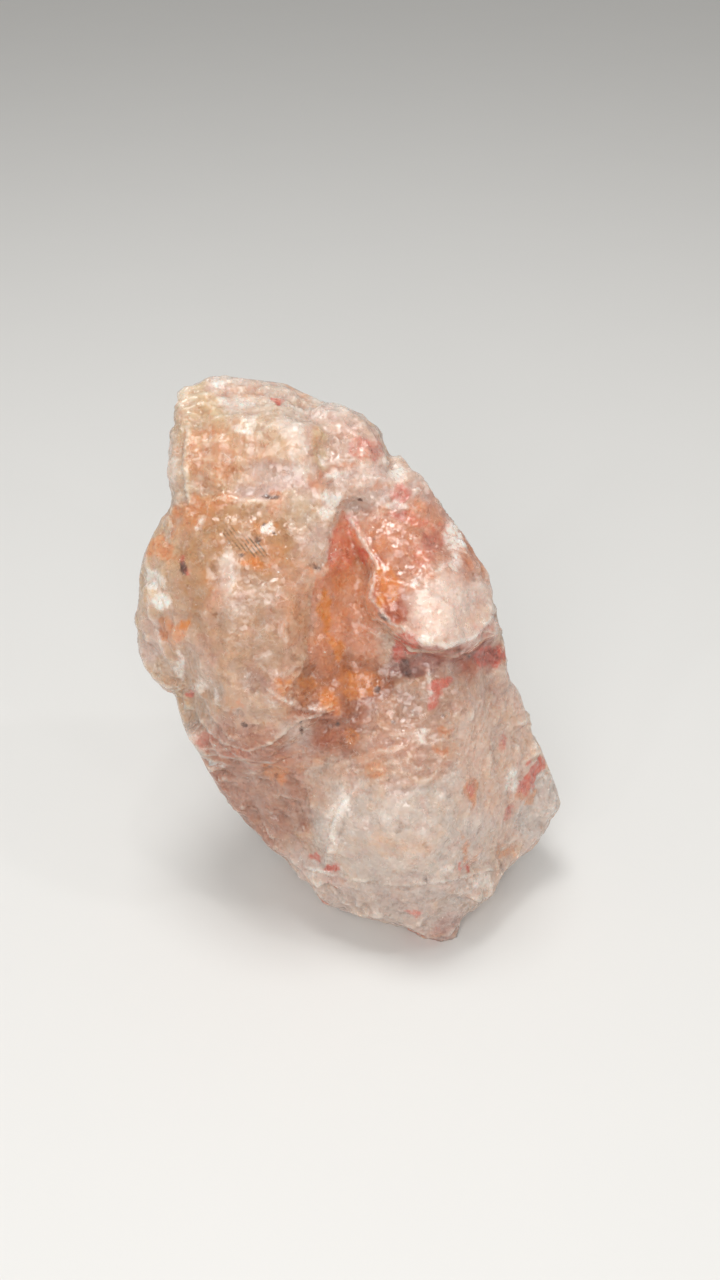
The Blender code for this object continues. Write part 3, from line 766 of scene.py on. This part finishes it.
def chips(add, place, size):
    """Cells of the given size with ragged borders: how far each place is from its cell's middle,
    the cell's three random numbers, and the height of a plane through its middle that leans by
    them."""
    moved = bent(add, place, size)
    away = add("TexVoronoi", {"Vector": moved, "Scale": per_mm(size)}, "Distance")
    random = away.node.outputs["Color"]
    arm = add("VectorMath", (moved, away.node.outputs["Position"]), operation="SUBTRACT")
    lean = add("VectorMath", (random, (0.5, 0.5, 0.5)), operation="SUBTRACT")
    plane = add("VectorMath", (arm, lean), "Value", operation="DOT_PRODUCT")
    split = add("SeparateColor", (random,)).node
    return away, list(split.outputs), plane


def strokes(add, place, size, width):
    """Thin curved lines, here and there along the ragged borders of cells of the given size."""
    away = add("TexVoronoi", {"Vector": bent(add, place, size), "Scale": per_mm(size)},
               "Distance", feature="DISTANCE_TO_EDGE")
    line = add("MapRange", (away, width / size, 0.0))
    some = add("TexNoise", {"Vector": place, "Scale": per_mm(1.6 * size), "Detail": 1.0})
    some = add("MapRange", (some, 0.5, 0.62))
    return add("Math", (line, some), operation="MULTIPLY")


def specks(add, place, size, reach, share):
    """Ragged specks, one in the middle of some of the cells of the given size."""
    away, random, _ = chips(add, place, size)
    near = add("MapRange", (away, reach / size, 0.5 * reach / size))
    some = add("MapRange", (random[2], 1.0 - share, 1.01 - share))
    return add("Math", (near, some), operation="MULTIPLY")


def clouds(add, place, ground, colours):
    """The shares and colours of the clouds inside the stone, the small white one last. They are
    thinner where the ground is a deep colour, which has little blue."""
    blue = add("SeparateColor", (ground,), "Blue")
    thin = add("MapRange", (blue, 0.02, 0.2, 0.25, 1.0))
    layers = []
    for name, size, low, high, most in CLOUDS:
        cloud = add("TexNoise", {"Vector": place, "W": size, "Scale": per_mm(size),
                                 "Detail": 5.0, "Roughness": 0.6, "Distortion": 0.8},
                    noise_dimensions="4D")
        share = add("MapRange", (cloud, low, high, 0.0, most))
        layers.append((add("Math", (share, thin), operation="MULTIPLY"), colours[name]))
    return layers


def golden_lines(add, place):
    """Fine straight lines in the streaked patches, broken along their length."""
    line = add("VectorMath", (place, tuple(STREAK_ACROSS)), "Value", operation="DOT_PRODUCT")
    line = add("Math", (line, 2 * math.pi / (GOLD_PITCH * MM)), operation="MULTIPLY")
    line = add("Math", (line,), operation="SINE")
    line = add("MapRange", (line, 0.0, 0.6))
    broken = add("TexNoise", {"Vector": place, "Scale": per_mm(1.3), "Detail": 2.0})
    broken = add("MapRange", (broken, 0.4, 0.54, 0.2, 1.0))
    line = add("Math", (line, broken), operation="MULTIPLY")
    patch = ragged(add, place, "streak", 1.0, 0.5)
    return add("Math", (line, patch), operation="MULTIPLY")


def iron_stains(add, place, crest, colours):
    """Iron oxide in the cracks: the shares and colours of the stains, which gather in the pits."""
    pit = add("MapRange", (crest, 0.6, -0.6, 0.85, 1.15))
    layers = []
    for kind, size, sharp, share in STAIN_GRAIN:
        mask = add("Math", (ragged(add, place, kind, size, sharp), share), operation="MULTIPLY")
        mask = add("Math", (mask, pit), operation="MULTIPLY", use_clamp=True)
        layers.append((mask, colours[kind]))
    return layers + [(golden_lines(add, place), colours["streak"])]


def white_quartz_and_highlights(add, place, crest, wisp):
    """The share of white: crushed white quartz in streaky patches, which hold painted glints too;
    thin edges of flakes and chips and the crests, as painted highlight where they catch the light;
    and stray flecks, partly white crumbs and partly painted glints."""
    streaky = add("VectorMath", (place, (1.0, 1.0, 0.3)), operation="MULTIPLY")
    streaky = add("TexNoise", {"Vector": streaky, "Scale": per_mm(0.5), "Detail": 3.0,
                               "Roughness": 0.6})
    streaky = add("MapRange", (streaky, 0.36, 0.52, 0.5, 1.0))
    white = add("Math", (ragged(add, place, "frost", 0.5, 0.7), streaky), operation="MULTIPLY")
    faint = add("MapRange", (wisp, 0.0, 0.3, 0.2, 0.6))
    thin = add("Math", (strokes(add, place, *LINES), faint), operation="MULTIPLY")
    hair = add("Math", (strokes(add, place, *HAIRS), 0.3), operation="MULTIPLY")
    # Crests are made paler: painted highlight where the relief's edges catch the light.
    painted_crest_highlight = add("MapRange", (crest, 0.5, 1.0, 0.0, 0.3))
    for other in (thin, hair, painted_crest_highlight, specks(add, place, *FLECKS)):
        white = add("Math", (white, other), operation="MAXIMUM")
    return white


def tone_and_painted_shade(add, place, crest, large, small):
    """How light each place is: each chip is a little lighter or darker than the next, and crests
    are lighter than pits, which is painted light on the crests and painted shade in the pits."""
    # Painted shade in the pits and painted light on the crests.
    shade = add("MapRange", (crest, -1.0, 1.0, 0.95, 1.04))
    grain = add("TexNoise", {"Vector": place, "Scale": per_mm(0.5), "Detail": 2.0})
    for random, low, high, depth in [(large, 0.0, 1.0, 0.03), (small, 0.0, 1.0, 0.035),
                                     (grain, 0.3, 0.7, 0.05)]:
        tone = add("MapRange", (random, low, high, 1 - depth, 1 + depth))
        shade = add("Math", (shade, tone), operation="MULTIPLY")
    return shade


def chip_relief(add, large_plane, small_plane, tilt, wisp):
    """The chips as relief: each is a little plane, most of them hardly tilted, some a lot. The
    small clouds stand out a little too."""
    steep = add("Math", (tilt, 3.0), operation="POWER")
    steep = add("MapRange", (steep, 0.0, 1.0, 0.15, 1.3))
    steep = add("Math", (small_plane, steep), operation="MULTIPLY")
    gentle = add("Math", (large_plane, 0.1), operation="MULTIPLY")
    bump = add("Bump", {"Height": gentle, "Strength": 1.0, "Distance": 1.0})
    for height, strength, distance in [(steep, 1.0, 1.0), (wisp, 0.5, 0.0004)]:
        bump = add("Bump", {"Height": height, "Strength": strength, "Distance": distance,
                            "Normal": bump})
    return bump


def quartz_material(colours):
    """Milky quartz as broken: glassy chips half a millimetre to two across, some of which glint,
    cloudy white inside, with iron oxide in the cracks, orange where thin and red where thick. Its
    colour also holds painted glints, painted highlights on edges and crests, and painted shade in
    the pits."""
    material, add = new_material("broken_milky_quartz")
    place = add("TexCoord", (), "Object")
    crest = add("Attribute", (), "Fac", attribute_name="crest")
    ground = add("Attribute", (), "Color", attribute_name="ground")
    _, large, large_plane = chips(add, place, WIDE_CHIP)
    _, small, small_plane = chips(add, place, FINE_CHIP)

    # Clouds, then the stains, crushed quartz with painted glints and highlights, and stray dark
    # grains.
    layers = clouds(add, place, ground, colours)
    wisp, _ = layers[-1]
    layers += iron_stains(add, place, crest, colours)
    white = white_quartz_and_highlights(add, place, crest, wisp)
    grit = add("Math", (specks(add, place, *GRAINS), 0.6), operation="MULTIPLY")
    layers += [(white, colours["frost"]), (grit, colours["dark"])]
    colour = laid(add, ground, layers)
    # The colour is scaled by random chip tone and by painted light and shade of the relief.
    shade = tone_and_painted_shade(add, place, crest, large[0], small[0])
    colour = add("VectorMath", {0: colour, "Scale": shade}, operation="SCALE")

    # Chips are from nearly as smooth as glass to frosted, and the white share, crushed quartz and
    # painted highlights alike, is duller.
    gloss = add("MapRange", (small[2], 0.0, 1.0, 0.07, 0.3))
    gloss = add("Math", (white, 0.2, gloss), operation="MULTIPLY_ADD")
    bump = chip_relief(add, large_plane, small_plane, small[1], wisp)
    shader = add("BsdfPrincipled", {
        "Base Color": colour, "Roughness": gloss, "IOR": QUARTZ_IOR, "Normal": bump,
        "Subsurface Weight": 0.95, "Subsurface Radius": SCATTER_COLOUR,
        "Subsurface Scale": SCATTER_REACH, "Transmission Weight": 0.3, "Coat Weight": 0.25,
        "Coat Roughness": 0.06, "Coat IOR": QUARTZ_IOR, "Coat Normal": bump})
    add("OutputMaterial", {"Surface": shader})
    return material


def floor_material(colour):
    """Matt paper: one pale colour with the faint mottle of its fibres."""
    material, add = new_material("pale_paper")
    place = add("TexCoord", (), "Object")
    mottle = add("TexNoise", {"Vector": place, "Scale": per_mm(30.0)})
    share = add("Math", (mottle, 0.06), operation="MULTIPLY")
    tone = laid(add, colour, [(share, (0.5, 0.5, 0.5, 1.0))])
    shader = add("BsdfPrincipled", {"Base Color": tone, "Roughness": 0.7})
    add("OutputMaterial", {"Surface": shader})
    return material


# ---- stage ----

# The middle of the stone, where the lights point, and half the floor's side, in metres.
STONE_MIDDLE = (0.0, 0.0, 0.04)
FLOOR_REACH = 1.5
# The broad lights: name, place and size in metres, and power in watts.
LIGHTS = [("overhead", (-0.05, 0.0, 0.52), 0.18, 1.12),
          ("front_fill", (-0.05, -0.5, 0.36), 0.4, 1.94)]
# Where the small lights are that the chips glint in, and their size and power.
GLINTS = [(0.04, -0.10, 0.55), (-0.30, -0.42, 0.34), (0.33, -0.40, 0.24), (0.02, -0.55, 0.10),
          (0.25, -0.10, 0.50)]
GLINT_SIZE, GLINT_POWER = 0.03, 0.14
SKY_COLOUR, SKY_STRENGTH = (1.0, 0.99, 0.97, 1.0), 0.445


def floor_plane(reach, colour):
    """A square floor that reaches this far each way from under the stone."""
    corners = [(x * reach, y * reach, 0.0) for x, y in ((-1, -1), (1, -1), (1, 1), (-1, 1))]
    mesh = bpy.data.meshes.new("floor")
    mesh.from_pydata(corners, [], [(0, 1, 2, 3)])
    mesh.materials.append(floor_material(colour))
    floor = placed("floor", mesh)


def area_light(name, place, size, power):
    """A round light of this size and power that shines on the middle of the stone."""
    data = bpy.data.lights.new(name, "AREA")
    data.shape = "DISK"
    data.size = size
    data.energy = power
    light = placed(name, data)
    light.location = place
    aim = Vector(STONE_MIDDLE) - Vector(place)
    light.rotation_euler = aim.to_track_quat("-Z", "Y").to_euler()


def sight_camera():
    """The camera at the eye, looking along the line of sight."""
    data = bpy.data.cameras.new("sight")
    data.sensor_width = SENSOR
    data.lens = FOCAL * SENSOR / FRAME_HEIGHT
    data.clip_start = 0.01
    camera = placed("sight", data)
    camera.location = EYE
    camera.rotation_euler = (math.pi / 2 - SIGHT_TILT, 0.0, 0.0)
    bpy.context.scene.camera = camera


def soft_sky(colour, strength):
    """The even light from all round."""
    world = bpy.data.worlds.new("soft_sky")
    world.use_nodes = True
    back = world.node_tree.nodes["Background"]
    back.inputs["Color"].default_value = colour
    back.inputs["Strength"].default_value = strength
    bpy.context.scene.world = world


# ---- add-on ----

def colour_setting(name, description, code):
    """A colour that can be changed in the panel, from its sRGB code."""
    return bpy.props.FloatVectorProperty(name=name, description=description, subtype="COLOR",
                                         size=4, min=0.0, max=1.0, default=(*linear(code), 1.0))


COLOURS = {
    # name: (what it is, sRGB code)
    "milky": ("Milky quartz where no stain lies", "#D9C0B2"),
    "cloud": ("White cloud inside the stone", "#EADFD8"),
    "top": ("Upper break of the head", "#E6D2C2"),
    "head": ("Front of the head", "#D4B492"),
    "lobe": ("Front lobe", "#C29979"),
    "shoulder": ("Shoulder beside the head", "#D8B5A2"),
    "gold": ("Golden cloud at the top of the lobe", "#BC8A5A"),
    "recess": ("Recess between lobe and flake", "#D28862"),
    "flake": ("Flake", "#C08064"),
    "rust": ("Left edge of the flake", "#B8562A"),
    "flake_tip": ("Lower end of the flake", "#F2D6C6"),
    "crevice": ("Crevice under the flake", "#B4664E"),
    "upper_foot": ("Foot below the recess", "#C69D84"),
    "oval": ("Smooth pale oval of the foot", "#D4C3B6"),
    "right_flank": ("Right flank of the foot", "#E2BFAA"),
    # Partly painted shade: this break faces down, away from the light.
    "under_lobe": ("Shaded break under the lobe", "#AE6F52"),
    "bottom": ("Lowest band of the foot", "#CAB5A9"),
    "toe": ("Lowest corner of the foot", "#B48F84"),
    "lilac": ("Smooth hollow in the head", "#DAB8A8"),
    "cream": ("Cream upper corner of the head", "#D8BC98"),
    "sienna": ("Brown orange below the recess", "#A2582A"),
    "honey": ("Yellow cloud inside the stone", "#E2B288"),
    "blush": ("Pink cloud inside the stone", "#D0958A"),
    "orange": ("Thin iron stain", "#DD8848"),
    "amber": ("Yellow iron stain", "#DE8420"),
    "red": ("Thick red iron stain", "#D8604A"),
    "mauve": ("Stain seen through the quartz", "#985E54"),
    # Crushed white quartz, and also the colour of the painted glints and edge highlights.
    "frost": ("Crushed white quartz", "#FFF2E8"),
    "dark": ("Dark specks in the cracks", "#4C1E08"),
    "streak": ("Golden brown lines in the lobe", "#74552A"),
    "clear": ("Clear grey quartz", "#C2B0A4"),
    "glass": ("Clear right corner of the foot", "#DCCEC4"),
    "floor": ("Floor", "#D9D8D5"),
}


class QuartzShape(bpy.types.PropertyGroup):
    """Sizes of the skin."""
    spacing: bpy.props.FloatProperty(
        name="Net spacing", description="Distance between the points of the skin",
        default=0.00034, min=0.0003, max=0.003, unit="LENGTH", precision=5)
    triangles: bpy.props.IntProperty(
        name="Triangles", description="How many triangles the finished skin keeps",
        default=192000, min=10000, max=199000, subtype="UNSIGNED")
    relief: bpy.props.FloatProperty(
        name="Relief", description="Height of the breaks, as a share of the real one",
        default=1.0, min=0.0, max=3.0, subtype="FACTOR")


class QuartzColours(bpy.types.PropertyGroup):
    """Colours of the stone and the floor."""
    __annotations__ = {name: colour_setting(name.replace("_", " ").capitalize(), text, code)
                       for name, (text, code) in COLOURS.items()}


class QUARTZ_OT_skin(bpy.types.Operator):
    """Builds the stone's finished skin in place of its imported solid"""
    bl_idname = "quartz.skin"
    bl_label = "Build the stone"

    def execute(self, context):
        scene = context.scene
        colours = {name: tuple(getattr(scene.quartz_colours, name)) for name in COLOURS}
        skin = crystal_skin(scene.quartz_shape, colours)
        skin.data.materials.clear()
        skin.data.materials.append(quartz_material(colours))
        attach(skin, "root")
        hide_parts(NODE)
        return {"FINISHED"}


class QUARTZ_OT_stage(bpy.types.Operator):
    """Adds the floor, the soft lights and the camera"""
    bl_idname = "quartz.stage"
    bl_label = "Build the stage"

    def execute(self, context):
        floor_plane(FLOOR_REACH, tuple(context.scene.quartz_colours.floor))
        soft_sky(SKY_COLOUR, SKY_STRENGTH)
        for light in LIGHTS:
            area_light(*light)
        for number, place in enumerate(GLINTS):
            area_light(f"glint_{number}", place, GLINT_SIZE, GLINT_POWER)
        sight_camera()
        context.scene.view_settings.view_transform = "Standard"
        return {"FINISHED"}


class QUARTZ_PT_panel(bpy.types.Panel):
    """Lists the steps that build the stone and its stage"""
    bl_idname = "QUARTZ_PT_panel"
    bl_label = "Rough quartz crystal"
    bl_space_type = "VIEW_3D"
    bl_region_type = "UI"
    bl_category = "Quartz"

    def draw(self, context):
        layout = self.layout
        for name in ("spacing", "triangles", "relief"):
            layout.prop(context.scene.quartz_shape, name)
        for operator in (QUARTZ_OT_skin, QUARTZ_OT_stage):
            layout.operator(operator.bl_idname)
        for name in COLOURS:
            layout.prop(context.scene.quartz_colours, name)


CLASSES = (QuartzShape, QuartzColours, QUARTZ_OT_skin, QUARTZ_OT_stage, QUARTZ_PT_panel)


def register():
    for item in CLASSES:
        bpy.utils.register_class(item)
    bpy.types.Scene.quartz_shape = bpy.props.PointerProperty(type=QuartzShape)
    bpy.types.Scene.quartz_colours = bpy.props.PointerProperty(type=QuartzColours)


def unregister():
    del bpy.types.Scene.quartz_colours
    del bpy.types.Scene.quartz_shape
    for item in reversed(CLASSES):
        bpy.utils.unregister_class(item)


def main():
    register()
    bpy.ops.quartz.stage()
    bpy.ops.quartz.skin()


if __name__ == "__main__":
    main()
